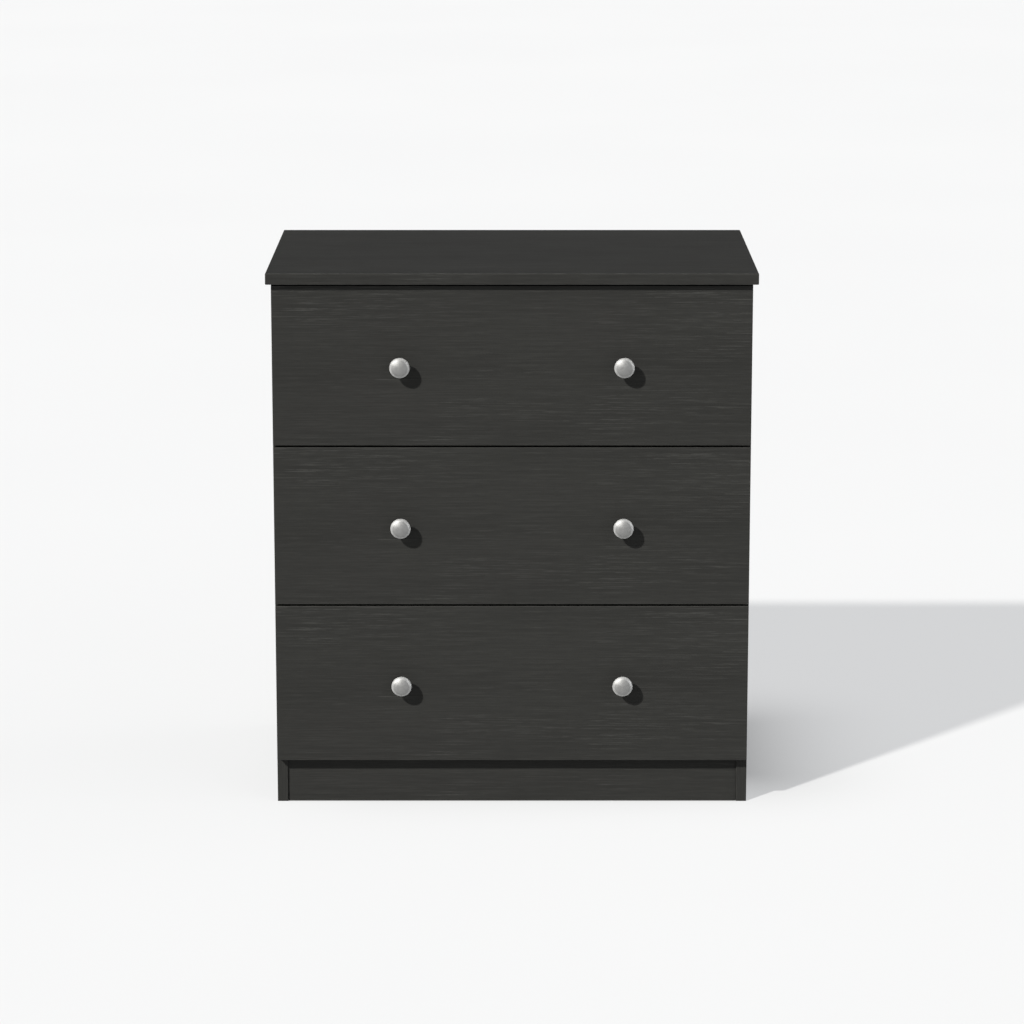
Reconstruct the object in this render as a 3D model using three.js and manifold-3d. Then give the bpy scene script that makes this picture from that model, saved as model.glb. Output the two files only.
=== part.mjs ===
// A bedside chest with three drawers: a board carcass on a plinth, overlay drawer fronts with
// two knobs each, and drawer boxes on steel runners with plastic rollers.
// Millimetres, +Z up. The drawers open towards -Y. The origin is on the floor, in the middle of
// the width and of the whole depth over the knobs.

import * as THREE from 'three';
import { mergeVertices } from 'three/addons/utils/BufferGeometryUtils.js';
import Module from 'manifold-3d';

const wasm = await Module();
wasm.setup();

// ---- Driving dimensions ----

// Carcass
const topWidth = 700;
const topDepth = 450;
const overallHeight = 785;
const topThickness = 16;
const topSideOverhang = 6.5; // past the side panels
const topFrontOverhang = 10; // past the drawer fronts
const boardThickness = 15;
const backThickness = 3;
const backSideInset = 2; // from the outer faces of the side panels
const backFloorGap = 8;
const plinthHeight = 64;
const plinthSetback = 3; // behind the front edges of the side panels
const railWidth = 60; // of the two flat rails under the top

// Drawer fronts and boxes
const levelNames = ['bottom', 'middle', 'top'];
const frontGap = 3; // seen between two fronts, under the top and above the plinth
const frontSideInset = 1; // of a front's ends from the outer faces of the side panels
const frontStandoff = 1.5; // from a closed front to the front edges of the side panels
const boxSideThickness = 12;
const boxRaise = 18; // the box's lower edge above the front's lower edge
const boxTopDrop = 43; // the box's upper edge below the front's upper edge
const boxRearRoom = 22; // left behind the box, its seam with the front included
const bottomThickness = 3;
const bottomRaise = 10; // the groove above the box's lower edge
const grooveDepth = 6;
const panelPlay = 0.3; // between the bottom panel and each face of its groove

// Knobs and their screws
const knobRadius = 14.5;
const knobBaseRadius = 8.5;
const knobNeckRadius = 6;
const knobRimHeight = 16; // the widest circle, above the knob's base
const knobCrownHeight = 8.7; // above that circle
const knobOffset = 160; // from the middle of the front
const knobSegments = 24;
const curveSteps = 3; // along each curve of its outline
const screwRadius = 2;
const screwHeadRadius = 4.2;
const screwHeadHeight = 2.4;
const screwGrip = 10; // held in the knob
const screwSegments = 12;
const boreSegments = 16;
const boreClearance = 0.4; // in radius

// Runners and rollers
const runnerSpace = 12.5; // between a side panel and a drawer box
const runnerSetback = 2; // behind the front edges of the side panels
const sheet = 1.2; // steel thickness
const rollerRadius = 10;
const rollerEdge = 1; // chamfer
const rollerFloorGap = 0.5; // under the cabinet roller
const runningGap = 0.3; // between a roller and what it runs on
const rollerSegments = 20;
const channelHeadroom = 1; // above the drawer runner
const channelLip = 2.5; // height of the lip that keeps the drawer roller in
const channelSideGap = 1; // between the channel's lip and the drawer runner's web
const footRise = 1.3; // the drawer runner's foot above the channel's floor
const footSetback = 0.5; // of that foot's edge from the inner face of the box side
const pinRadius = 2.5;
const pinCollarRadius = 4;
const pinHeadRadius = 4.5;
const pinHeadThickness = 0.8;
const pinHeadGap = 0.4; // between a drawer roller's pin and the channel's web
const pinSegments = 16;
const rollerEndDistance = 14; // from a runner's end to the axis of its roller

// Fits
const seam = 0.3; // between two pieces that touch
const cutterOverrun = 1; // how far a cutter runs past the board it cuts

// ---- Places worked out from them ----

const knobProjection = seam + knobRimHeight + knobCrownHeight; // from the drawer front's face
const rearY = (topDepth - topFrontOverhang + knobProjection) / 2;
const topFrontY = rearY - topDepth;
const faceY = topFrontY + topFrontOverhang; // the visible face of the drawer fronts
const frontRearY = faceY + boardThickness;
const sideFrontY = frontRearY + frontStandoff;
const backFrontY = rearY - backThickness;
const carcassRearY = backFrontY - seam;

const bodyHalfWidth = topWidth / 2 - topSideOverhang;
const bayHalfWidth = bodyHalfWidth - boardThickness; // between the side panels
const underTopZ = overallHeight - topThickness;
const carcassTopZ = underTopZ - seam;

const frontsRoom = underTopZ - plinthHeight - frontGap;
const frontHeight = frontsRoom / levelNames.length - frontGap;
const frontPitch = frontHeight + frontGap;

const boxHalfWidth = bayHalfWidth - runnerSpace;
const boxInnerHalfWidth = boxHalfWidth - boxSideThickness;
const boxLowZ = boxRaise; // boxes and fronts are placed in the frame of their own drawer
const boxHighZ = frontHeight - boxTopDrop;
const boxFrontY = frontRearY + seam;
const boxLength = backFrontY - frontRearY - boxRearRoom;
const boxRearY = boxFrontY + boxLength;
const boxBackFrontY = boxRearY - boxSideThickness;
const bottomLowZ = boxLowZ + bottomRaise;
const bottomHighZ = bottomLowZ + bottomThickness;
const panelReach = grooveDepth - panelPlay;

const knobHeight = frontHeight / 2;
const knobBaseY = faceY - seam;

const channelFloorZ = boxLowZ - seam - sheet - footRise;
const cabinetAxleZ = rollerRadius + rollerFloorGap; // above the channel's floor
const drawerAxleZ = rollerRadius + runningGap;
const drawerTreadZ = cabinetAxleZ + rollerRadius + runningGap;
const channelHeight = drawerTreadZ + sheet + channelHeadroom;
const channelWebFace = seam + sheet;
const drawerWebFace = runnerSpace - seam - sheet;
const footEnd = runnerSpace + boxSideThickness - footSetback;
const channelWidth = drawerWebFace - channelSideGap;
const lipFace = channelWidth - sheet;
const rollerNear = channelWebFace + pinHeadGap + pinHeadThickness + runningGap;
const rollerFar = lipFace - runningGap;
const rollerWidth = rollerFar - rollerNear;
const runnerFrontY = sideFrontY + runnerSetback;

const sides = [
  { name: 'left', sign: -1 },
  { name: 'right', sign: 1 },
];

// ---- Finishes ----

const finishes = {
  charcoalBoard: { color: 0x4b4a46, roughness: 0.55, metalness: 0 },
  boxBoard: { color: 0xb9b6ae, roughness: 0.6, metalness: 0 },
  hardboard: { color: 0x8a6a4a, roughness: 0.7, metalness: 0 },
  satinNickel: { color: 0xb4b0a8, roughness: 0.3, metalness: 1 },
  zincSteel: { color: 0xc4c6c8, roughness: 0.35, metalness: 1 },
  coatedSteel: { color: 0xe9e8e4, roughness: 0.4, metalness: 0 },
  nylon: { color: 0xf1efe8, roughness: 0.5, metalness: 0 },
};

// ---- Geometry helpers ----

// A closed geometry as a solid that can be cut and joined.
function toSolid(geometry) {
  const bare = geometry.clone();
  bare.deleteAttribute('normal');
  bare.deleteAttribute('uv');
  const merged = mergeVertices(bare);
  return new wasm.Manifold(new wasm.Mesh({
    numProp: 3,
    vertProperties: new Float32Array(merged.attributes.position.array),
    triVerts: new Uint32Array(merged.index.array),
  }));
}

function toGeometry(solid) {
  const { vertProperties, triVerts } = solid.getMesh();
  const geometry = new THREE.BufferGeometry();
  geometry.setAttribute('position', new THREE.BufferAttribute(vertProperties, 3));
  geometry.setIndex(new THREE.BufferAttribute(triVerts, 1));
  geometry.computeVertexNormals();
  return geometry;
}

// A box that fills three spans, each a low and a high value.
function spanBox([left, right], [front, rear], [low, high]) {
  const box = new THREE.BoxGeometry(right - left, rear - front, high - low);
  return box.translate((left + right) / 2, (front + rear) / 2, (low + high) / 2);
}

// The radius of the corners of a faceted bore whose flats touch the given circle.
function cornerRadius(radius, segments) {
  return radius / Math.cos(Math.PI / segments);
}

// A cutter along Y for a screw's clearance hole.
function screwHole(x, z, [front, rear]) {
  const radius = cornerRadius(screwRadius + boreClearance, boreSegments);
  const hole = new THREE.CylinderGeometry(radius, radius, rear - front, boreSegments);
  return hole.translate(x, (front + rear) / 2, z);
}

function cut(geometry, cutters) {
  const whole = toSolid(geometry);
  return toGeometry(cutters.reduce((rest, cutter) => rest.subtract(toSolid(cutter)), whole));
}

function joined(first, second) {
  return toGeometry(toSolid(first).add(toSolid(second)));
}

// A shape of revolution about Y. The outline is a list of [radius, distance along Y].
function turned(outline, segments) {
  const points = outline.map(([radius, distance]) => new THREE.Vector2(radius, distance));
  return new THREE.LatheGeometry(points, segments);
}

function addMesh(parent, name, geometry, finish) {
  const mesh = new THREE.Mesh(geometry, new THREE.MeshStandardMaterial(finish));
  mesh.name = name;
  parent.add(mesh);
  return mesh;
}

// A plain board that fills three spans.
function addBoard(parent, name, finish, spanX, spanY, spanZ) {
  const [middleX, middleY, middleZ] = [spanX, spanY, spanZ].map(([low, high]) => (low + high) / 2);
  const [width, depth, height] = [spanX, spanY, spanZ].map(([low, high]) => high - low);
  const board = addMesh(parent, name, new THREE.BoxGeometry(width, depth, height), finish);
  board.position.set(middleX, middleY, middleZ);
}

function mirroredSpan(halfWidth) {
  return [-halfWidth, halfWidth];
}

function sidewaysSpan(sign, near, far) {
  return sign > 0 ? [near, far] : [-far, -near];
}

// ---- Carcass ----

function addCarcass(cabinet) {
  const wood = finishes.charcoalBoard;
  const betweenSides = mirroredSpan(bayHalfWidth - seam);
  const sideSpanY = [sideFrontY, carcassRearY];
  const railSpanZ = [carcassTopZ - boardThickness, carcassTopZ];
  const plinthFrontY = sideFrontY + plinthSetback;

  const topSpanX = mirroredSpan(topWidth / 2);
  addBoard(cabinet, 'top_panel', wood, topSpanX, [topFrontY, rearY], [underTopZ, overallHeight]);
  for (const { name, sign } of sides) {
    const spanX = sidewaysSpan(sign, bayHalfWidth, bodyHalfWidth);
    addBoard(cabinet, `side_panel_${name}`, wood, spanX, sideSpanY, [0, carcassTopZ]);
  }

  const plinthSpanZ = [0, plinthHeight];
  const frontPlinthSpanY = [plinthFrontY, plinthFrontY + boardThickness];
  const rearPlinthSpanY = [carcassRearY - boardThickness, carcassRearY];
  addBoard(cabinet, 'plinth_front', wood, betweenSides, frontPlinthSpanY, plinthSpanZ);
  addBoard(cabinet, 'plinth_rear', wood, betweenSides, rearPlinthSpanY, plinthSpanZ);

  const frontRailSpanY = [sideFrontY, sideFrontY + railWidth];
  const rearRailSpanY = [carcassRearY - railWidth, carcassRearY];
  addBoard(cabinet, 'top_rail_front', wood, betweenSides, frontRailSpanY, railSpanZ);
  addBoard(cabinet, 'top_rail_rear', wood, betweenSides, rearRailSpanY, railSpanZ);

  const backSpanX = mirroredSpan(bodyHalfWidth - backSideInset);
  const backSpanZ = [backFloorGap, carcassTopZ];
  addBoard(cabinet, 'back_panel', finishes.hardboard, backSpanX, [backFrontY, rearY], backSpanZ);
}

// ---- Runners and rollers ----
// A runner's section is drawn as distance from the side panel and height above the channel's
// floor. On the right the distance runs towards -X, and on the left towards +X.

function sectionAlongY(sign, corners, length) {
  const points = corners.map(([distance, height]) => new THREE.Vector2(-sign * distance, height));
  const shape = new THREE.Shape(points);
  const bar = new THREE.ExtrudeGeometry(shape, { depth: length, bevelEnabled: false });
  return bar.rotateX(Math.PI / 2).translate(0, length, 0);
}

// The riveted pin of a roller. It runs from its root in the web, over a collar and the roller's
// bearing, to its head. Its distances rise on a cabinet runner and fall on a drawer runner.
function rollerPin(sign, root, collarEnd, headStart, headEnd, y, z) {
  const outline = [
    [0, root],
    [pinCollarRadius, root],
    [pinCollarRadius, collarEnd],
    [pinRadius, collarEnd],
    [pinRadius, headStart],
    [pinHeadRadius, headStart],
    [pinHeadRadius, headEnd],
    [0, headEnd],
  ];
  if (headEnd < root) outline.reverse();
  return turned(outline, pinSegments).rotateZ(sign * Math.PI / 2).translate(0, y, z);
}

function cabinetRunner(sign) {
  const section = [
    [seam, -sheet],
    [channelWidth, -sheet],
    [channelWidth, channelLip],
    [lipFace, channelLip],
    [lipFace, 0],
    [channelWebFace, 0],
    [channelWebFace, channelHeight],
    [lipFace, channelHeight],
    [lipFace, channelHeight + sheet],
    [seam, channelHeight + sheet],
  ];
  const root = seam + sheet / 2;
  const headStart = rollerFar + runningGap;
  const headEnd = headStart + pinHeadThickness;
  const collarEnd = rollerNear - runningGap;
  const pin = rollerPin(sign, root, collarEnd, headStart, headEnd, rollerEndDistance, cabinetAxleZ);
  return joined(sectionAlongY(sign, section, boxLength), pin);
}

function drawerRunner(sign) {
  const section = [
    [rollerNear, drawerTreadZ],
    [drawerWebFace, drawerTreadZ],
    [drawerWebFace, footRise],
    [footEnd, footRise],
    [footEnd, footRise + sheet],
    [drawerWebFace + sheet, footRise + sheet],
    [drawerWebFace + sheet, drawerTreadZ + sheet],
    [rollerNear, drawerTreadZ + sheet],
  ];
  const root = drawerWebFace + sheet / 2;
  const headStart = rollerNear - runningGap;
  const headEnd = headStart - pinHeadThickness;
  const collarEnd = rollerFar + runningGap;
  const pinY = boxLength - rollerEndDistance;
  const pin = rollerPin(sign, root, collarEnd, headStart, headEnd, pinY, drawerAxleZ);
  return joined(sectionAlongY(sign, section, boxLength), pin);
}

// A plain wheel with chamfered edges and a bore that turns on the runner's pin.
function rollerWheel() {
  const boreRadius = cornerRadius(pinRadius + runningGap, rollerSegments);
  const outline = [
    [boreRadius, 0],
    [rollerRadius - rollerEdge, 0],
    [rollerRadius, rollerEdge],
    [rollerRadius, rollerWidth - rollerEdge],
    [rollerRadius - rollerEdge, rollerWidth],
    [boreRadius, rollerWidth],
    [boreRadius, 0],
  ];
  return turned(outline, rollerSegments);
}

function addRoller(parent, name, sign, y, z) {
  const roller = addMesh(parent, name, rollerWheel(), finishes.nylon);
  roller.rotation.z = sign * Math.PI / 2;
  roller.position.set(sign * (bayHalfWidth - rollerNear), y, z);
}

function addCabinetRunners(cabinet, level, drawerZ) {
  const floorZ = drawerZ + channelFloorZ;
  for (const { name, sign } of sides) {
    const runnerName = `cabinet_runner_${level}_${name}`;
    const runner = addMesh(cabinet, runnerName, cabinetRunner(sign), finishes.coatedSteel);
    runner.position.set(sign * bayHalfWidth, runnerFrontY, floorZ);
    const axleY = runnerFrontY + rollerEndDistance;
    addRoller(cabinet, `cabinet_roller_${level}_${name}`, sign, axleY, floorZ + cabinetAxleZ);
  }
}

function addDrawerRunners(drawer, level) {
  for (const { name, sign } of sides) {
    const runnerName = `${level}_drawer_runner_${name}`;
    const runner = addMesh(drawer, runnerName, drawerRunner(sign), finishes.coatedSteel);
    runner.position.set(sign * bayHalfWidth, boxFrontY, channelFloorZ);
    const axleY = boxRearY - rollerEndDistance;
    addRoller(drawer, `${level}_drawer_roller_${name}`, sign, axleY, channelFloorZ + drawerAxleZ);
  }
}

// ---- Drawer boards ----

function addDrawerFront(drawer, level) {
  const spanX = mirroredSpan(bodyHalfWidth - frontSideInset);
  const board = spanBox(spanX, [faceY, frontRearY], [0, frontHeight]);
  const throughBoard = [faceY - cutterOverrun, frontRearY + cutterOverrun];
  const bores = sides.map(({ sign }) => screwHole(sign * knobOffset, knobHeight, throughBoard));
  const groove = spanBox(
    mirroredSpan(boxInnerHalfWidth + grooveDepth),
    [frontRearY - grooveDepth, frontRearY + cutterOverrun],
    [bottomLowZ - panelPlay, bottomHighZ + panelPlay],
  );
  const front = cut(board, [...bores, groove]);
  addMesh(drawer, `${level}_drawer_front`, front, finishes.charcoalBoard);
}

function addBoxSide(drawer, level, name, sign) {
  const spanX = sidewaysSpan(sign, boxInnerHalfWidth, boxHalfWidth);
  const board = spanBox(spanX, [boxFrontY, boxRearY], [boxLowZ, boxHighZ]);
  const groove = spanBox(
    sidewaysSpan(sign, boxInnerHalfWidth - cutterOverrun, boxInnerHalfWidth + grooveDepth),
    [boxFrontY - cutterOverrun, boxBackFrontY + grooveDepth],
    [bottomLowZ - panelPlay, bottomHighZ + panelPlay],
  );
  addMesh(drawer, `${level}_drawer_side_${name}`, cut(board, [groove]), finishes.boxBoard);
}

function addBoxBack(drawer, level) {
  const halfWidth = boxInnerHalfWidth - seam;
  const board = spanBox(mirroredSpan(halfWidth), [boxBackFrontY, boxRearY], [boxLowZ, boxHighZ]);
  const groove = spanBox(
    mirroredSpan(halfWidth + cutterOverrun),
    [boxBackFrontY - cutterOverrun, boxBackFrontY + grooveDepth],
    [bottomLowZ - panelPlay, bottomHighZ + panelPlay],
  );
  addMesh(drawer, `${level}_drawer_back`, cut(board, [groove]), finishes.boxBoard);
}

function addBoxBottom(drawer, level) {
  const spanX = mirroredSpan(boxInnerHalfWidth + panelReach);
  const spanY = [frontRearY - panelReach, boxBackFrontY + panelReach];
  addBoard(drawer, `${level}_drawer_bottom`, finishes.boxBoard, spanX, spanY, [bottomLowZ, bottomHighZ]);
}

// ---- Knobs ----

// The outline runs up the screw's hole, out under the base, round the head and back to the axis.
function knobGeometry() {
  const boreRadius = cornerRadius(screwRadius + boreClearance, knobSegments);
  const boreDepth = screwGrip + 2 * seam;
  const height = knobRimHeight + knobCrownHeight;
  const neckHeight = knobRimHeight / 2;
  const shoulderRadius = knobRadius * 0.7;
  const shoulderHeight = knobRimHeight - 3;
  const crownRadius = knobRadius * 0.82; // where the rim becomes the crown
  const crownStart = knobRimHeight + knobCrownHeight * 0.62;
  const rimControl = knobRimHeight + knobCrownHeight * 0.34;
  const outline = new THREE.Path();
  outline.moveTo(0, boreDepth);
  outline.lineTo(boreRadius, boreDepth);
  outline.lineTo(boreRadius, 0);
  outline.lineTo(knobBaseRadius, 0);
  outline.quadraticCurveTo(knobNeckRadius, neckHeight / 4, knobNeckRadius, neckHeight);
  outline.quadraticCurveTo(knobNeckRadius, shoulderHeight, shoulderRadius, shoulderHeight);
  outline.quadraticCurveTo(knobRadius, shoulderHeight, knobRadius, knobRimHeight);
  outline.quadraticCurveTo(knobRadius, rimControl, crownRadius, crownStart);
  outline.quadraticCurveTo(knobRadius / 2, height, 0, height);
  return new THREE.LatheGeometry(outline.getPoints(curveSteps), knobSegments);
}

function screwGeometry() {
  const shankLength = frontRearY + seam - faceY + screwGrip;
  const tipLength = 1;
  const outline = [
    [0, 0],
    [screwRadius - tipLength / 2, 0],
    [screwRadius, tipLength],
    [screwRadius, shankLength],
    [screwHeadRadius, shankLength],
    [screwHeadRadius, shankLength + screwHeadHeight / 2],
    [screwHeadRadius - screwHeadHeight / 2, shankLength + screwHeadHeight],
    [0, shankLength + screwHeadHeight],
  ];
  return turned(outline, screwSegments);
}

function addKnob(drawer, level, name, sign) {
  const knob = addMesh(drawer, `${level}_knob_${name}`, knobGeometry(), finishes.satinNickel);
  knob.rotation.x = Math.PI; // the knob's axis points forwards, along -Y
  knob.position.set(sign * knobOffset, knobBaseY, knobHeight);
  const screw = addMesh(drawer, `${level}_knob_screw_${name}`, screwGeometry(), finishes.zincSteel);
  screw.position.set(sign * knobOffset, faceY - screwGrip, knobHeight);
}

// ---- Assembly ----

function addDrawer(chest, level, drawerZ) {
  const drawer = new THREE.Group();
  drawer.position.z = drawerZ;
  chest.add(drawer);
  addDrawerFront(drawer, level);
  addBoxBack(drawer, level);
  addBoxBottom(drawer, level);
  addDrawerRunners(drawer, level);
  for (const { name, sign } of sides) {
    addBoxSide(drawer, level, name, sign);
    addKnob(drawer, level, name, sign);
  }
}

const chest = new THREE.Group();
const cabinet = new THREE.Group();
chest.add(cabinet);
addCarcass(cabinet);
levelNames.forEach((level, index) => {
  const drawerZ = plinthHeight + frontGap + index * frontPitch;
  addCabinetRunners(cabinet, level, drawerZ);
  addDrawer(chest, level, drawerZ);
});

export default chest;
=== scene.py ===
"""The looks of a bedside chest with three drawers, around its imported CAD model.

Metres, +Z up, the drawers open towards -Y. Boards and runners are the CAD nodes with finer
edges and materials. Knobs, screws and rollers are replaced by finer meshes, and the small
fittings that have no solid of their own are added: nails, runner screws and cam locks.
"""

import math

import bmesh
import bpy
from mathutils import Matrix, Vector


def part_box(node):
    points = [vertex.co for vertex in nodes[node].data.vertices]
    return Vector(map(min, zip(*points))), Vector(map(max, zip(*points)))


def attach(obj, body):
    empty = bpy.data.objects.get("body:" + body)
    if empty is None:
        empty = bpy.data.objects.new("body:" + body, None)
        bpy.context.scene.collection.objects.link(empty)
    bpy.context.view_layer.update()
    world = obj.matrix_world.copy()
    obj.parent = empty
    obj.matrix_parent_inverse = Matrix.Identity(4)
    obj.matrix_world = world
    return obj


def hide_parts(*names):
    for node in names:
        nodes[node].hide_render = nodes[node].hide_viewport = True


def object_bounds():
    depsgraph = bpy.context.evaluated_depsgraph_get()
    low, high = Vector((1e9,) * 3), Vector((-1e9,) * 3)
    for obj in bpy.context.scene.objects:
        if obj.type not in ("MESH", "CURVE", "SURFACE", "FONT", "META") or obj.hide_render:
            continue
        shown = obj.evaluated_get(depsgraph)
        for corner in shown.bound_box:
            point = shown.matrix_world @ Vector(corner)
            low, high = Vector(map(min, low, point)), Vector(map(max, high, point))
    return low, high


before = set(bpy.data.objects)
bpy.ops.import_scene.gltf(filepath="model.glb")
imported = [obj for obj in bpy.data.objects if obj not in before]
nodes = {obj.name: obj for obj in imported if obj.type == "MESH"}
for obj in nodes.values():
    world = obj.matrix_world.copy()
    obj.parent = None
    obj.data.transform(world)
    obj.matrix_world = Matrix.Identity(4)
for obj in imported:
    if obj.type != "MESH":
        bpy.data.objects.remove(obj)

cad_low, cad_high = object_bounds()

MM = 0.001
LEVELS = ("bottom", "middle", "top")
SIDES = {"left": -1, "right": 1}


# ---- Shader graph helpers ----


class Graph:
    """Short ways to add nodes to a tree and to link or set their inputs."""

    def __init__(self, tree):
        self.tree = tree

    def feed(self, socket, value):
        if isinstance(value, bpy.types.NodeSocket):
            self.tree.links.new(value, socket)
        else:
            socket.default_value = value

    def add(self, kind, inputs=None, **settings):
        made = self.tree.nodes.new(kind)
        for name, value in settings.items():
            setattr(made, name, value)
        for key, value in (inputs or {}).items():
            self.feed(made.inputs[key], value)
        return made

    def math(self, operation, *values, clamp=False):
        made = self.add("ShaderNodeMath", operation=operation, use_clamp=clamp)
        for socket, value in zip(made.inputs, values):
            self.feed(socket, value)
        return made.outputs[0]

    def vector_math(self, operation, *values):
        made = self.add("ShaderNodeVectorMath", operation=operation)
        for socket, value in zip(made.inputs, values):
            self.feed(socket, value)
        return made.outputs[0]

    def split(self, vector):
        return self.add("ShaderNodeSeparateXYZ", {"Vector": vector}).outputs

    def join(self, x, y, z):
        return self.add("ShaderNodeCombineXYZ", {"X": x, "Y": y, "Z": z}).outputs[0]

    def scaled(self, vector, factors):
        return self.vector_math("MULTIPLY", vector, factors)

    def noise(self, vector, scale=1.0, detail=2.0, roughness=0.5):
        inputs = {"Vector": vector, "Scale": scale, "Detail": detail, "Roughness": roughness}
        return self.add("ShaderNodeTexNoise", inputs).outputs[0]

    def remap(self, value, low, high, to_low=0.0, to_high=1.0, smooth=True):
        kind = "SMOOTHSTEP" if smooth else "LINEAR"
        inputs = {"Value": value, "From Min": low, "From Max": high}
        inputs.update({"To Min": to_low, "To Max": to_high})
        return self.add("ShaderNodeMapRange", inputs, interpolation_type=kind).outputs[0]

    def mix(self, factor, first, second):
        made = self.add("ShaderNodeMix", data_type="RGBA")
        self.feed(made.inputs[0], factor)
        self.feed(made.inputs[6], first)
        self.feed(made.inputs[7], second)
        return made.outputs[2]

    def choose_vector(self, factor, first, second):
        made = self.add("ShaderNodeMix", data_type="VECTOR")
        self.feed(made.inputs[0], factor)
        self.feed(made.inputs[4], first)
        self.feed(made.inputs[5], second)
        return made.outputs[1]


def rgba(red, green, blue):
    return (red, green, blue, 1.0)


def new_material(name):
    """A material that holds only a Principled shader. Returns (material, graph, shader)."""
    material = bpy.data.materials.new(name)
    material.use_nodes = True
    material.node_tree.nodes.clear()
    graph = Graph(material.node_tree)
    shader = graph.add("ShaderNodeBsdfPrincipled")
    output = graph.add("ShaderNodeOutputMaterial")
    material.node_tree.links.new(shader.outputs[0], output.inputs[0])
    return material, graph, shader


def add_bump(graph, shader, height, strength, distance):
    inputs = {"Height": height, "Strength": strength, "Distance": distance}
    bump = graph.add("ShaderNodeBump", inputs)
    graph.feed(shader.inputs["Normal"], bump.outputs[0])


def object_position(graph):
    return graph.add("ShaderNodeTexCoord").outputs["Object"]


# ---- Wood-grain board ----

GRAIN_DARK = rgba(0.0146, 0.0146, 0.0136)
GRAIN_LIGHT = rgba(0.0213, 0.0213, 0.0198)
GRAIN_FLECK = rgba(0.0330, 0.0330, 0.0311)
# Lighter colour at the boards' edges: partly real wear, partly a painted highlight along edges that
# catch the light.
EDGE_WEAR_AND_HIGHLIGHT = rgba(0.0620, 0.0610, 0.0570)
EDGE_WEAR_AND_HIGHLIGHT_WIDTH = 1.2 * MM
RUB_SCALE = 45.0
SMUDGE_SCALE = 9.0
BOARD_SPECULAR = 0.07
BOARD_BUMP = 0.35
BOARD_RELIEF = 0.25 * MM

# The grain's noises, in steps per metre along the grain and across it.
GRAIN_SCALES = {
    "wander": (2.2, 7.0, 7.0),
    "broad": (1.6, 14.0, 14.0),
    "bands": (16.0, 190.0, 190.0),
    "lines": (9.0, 780.0, 780.0),
    "dashes": (46.0, 620.0, 620.0),
    "pores": (70.0, 1250.0, 1250.0),
    "patches": (7.0, 26.0, 26.0),
}
GRAIN_DRIFT = 2.5 * MM  # how far the lines of the grain wander sideways, from one side to the other

# How much each noise adds to the tone, from dark to light.
TONE_SHARES = {"broad": 0.30, "bands": 0.20, "lines": 0.50, "dashes": 0.20}
TONE_RANGE = (0.42, 0.80)

# For each grain direction: the order of coordinates that puts the grain first, and the order
# used on the end faces, where the edge strip's own grain runs along the edge.
GRAIN_ORDERS = {"x": ("xyz", "yxz"), "y": ("yxz", "zxy"), "z": ("zxy", "yxz")}

# Where the figure is livelier on a drawer front: middle and reach along X and Z, as shares of
# the front.
LIVELY_PATCHES = (
    ((0.12, 0.94), (0.32, 0.28)),
    ((0.90, 0.84), (0.30, 0.34)),
    ((0.76, 0.24), (0.26, 0.18)),
    ((0.45, 0.24), (0.16, 0.10)),
)


def grain_group():
    """A node group: a place in metres, with the grain along the first axis, becomes a pattern.

    The input Lively, from 0 to 1, adds pale flecks to the figure.
    """
    group = bpy.data.node_groups.new("charcoal_grain", "ShaderNodeTree")
    group.interface.new_socket("Place", in_out="INPUT", socket_type="NodeSocketVector")
    group.interface.new_socket("Lively", in_out="INPUT", socket_type="NodeSocketFloat")
    for name in ("Color", "Roughness", "Height"):
        kind = "NodeSocketColor" if name == "Color" else "NodeSocketFloat"
        group.interface.new_socket(name, in_out="OUTPUT", socket_type=kind)
    graph = Graph(group)
    inputs = graph.add("NodeGroupInput").outputs
    place = inputs["Place"]

    wander = graph.noise(graph.scaled(place, GRAIN_SCALES["wander"]), detail=1.0)
    drift = graph.math("MULTIPLY", graph.math("SUBTRACT", wander, 0.5), GRAIN_DRIFT)
    place = graph.vector_math("ADD", place, graph.join(0.0, drift, drift))

    broad = graph.noise(graph.scaled(place, GRAIN_SCALES["broad"]))
    bands = graph.noise(graph.scaled(place, GRAIN_SCALES["bands"]), roughness=0.55)
    lines = graph.noise(graph.scaled(place, GRAIN_SCALES["lines"]), roughness=0.7)
    dashes = graph.noise(graph.scaled(place, GRAIN_SCALES["dashes"]), roughness=0.6)
    pores = graph.noise(graph.scaled(place, GRAIN_SCALES["pores"]))
    patches = graph.noise(graph.scaled(place, GRAIN_SCALES["patches"]))

    tone = graph.math("MULTIPLY", broad, TONE_SHARES["broad"])
    for name, noise in (("bands", bands), ("lines", lines), ("dashes", dashes)):
        tone = graph.math("MULTIPLY_ADD", noise, TONE_SHARES[name], tone)
    color = graph.mix(graph.remap(tone, *TONE_RANGE), GRAIN_DARK, GRAIN_LIGHT)

    lively = graph.math("ADD", graph.remap(patches, 0.56, 0.76), inputs["Lively"], clamp=True)
    fleck = graph.math("MULTIPLY", graph.remap(lines, 0.50, 0.66), graph.remap(dashes, 0.38, 0.60))
    fleck = graph.math("MULTIPLY", fleck, graph.math("MULTIPLY_ADD", lively, 0.80, 0.20))
    color = graph.mix(fleck, color, GRAIN_FLECK)
    pit = graph.remap(pores, 0.60, 0.72)
    color = graph.mix(graph.math("MULTIPLY", pit, 0.5), color, GRAIN_DARK)

    roughness = graph.remap(lines, 0.3, 0.7, 0.62, 0.74)
    height = graph.math("MULTIPLY_ADD", lines, 0.8, graph.math("MULTIPLY", bands, 0.2))
    height = graph.math("SUBTRACT", height, graph.math("MULTIPLY", pit, 0.6))

    output = graph.add("NodeGroupOutput")
    for name, value in (("Color", color), ("Roughness", roughness), ("Height", height)):
        graph.feed(output.inputs[name], value)
    return group


def swizzled(graph, place, order):
    parts = dict(zip("xyz", graph.split(place)))
    return graph.join(*(parts[letter] for letter in order))


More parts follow.
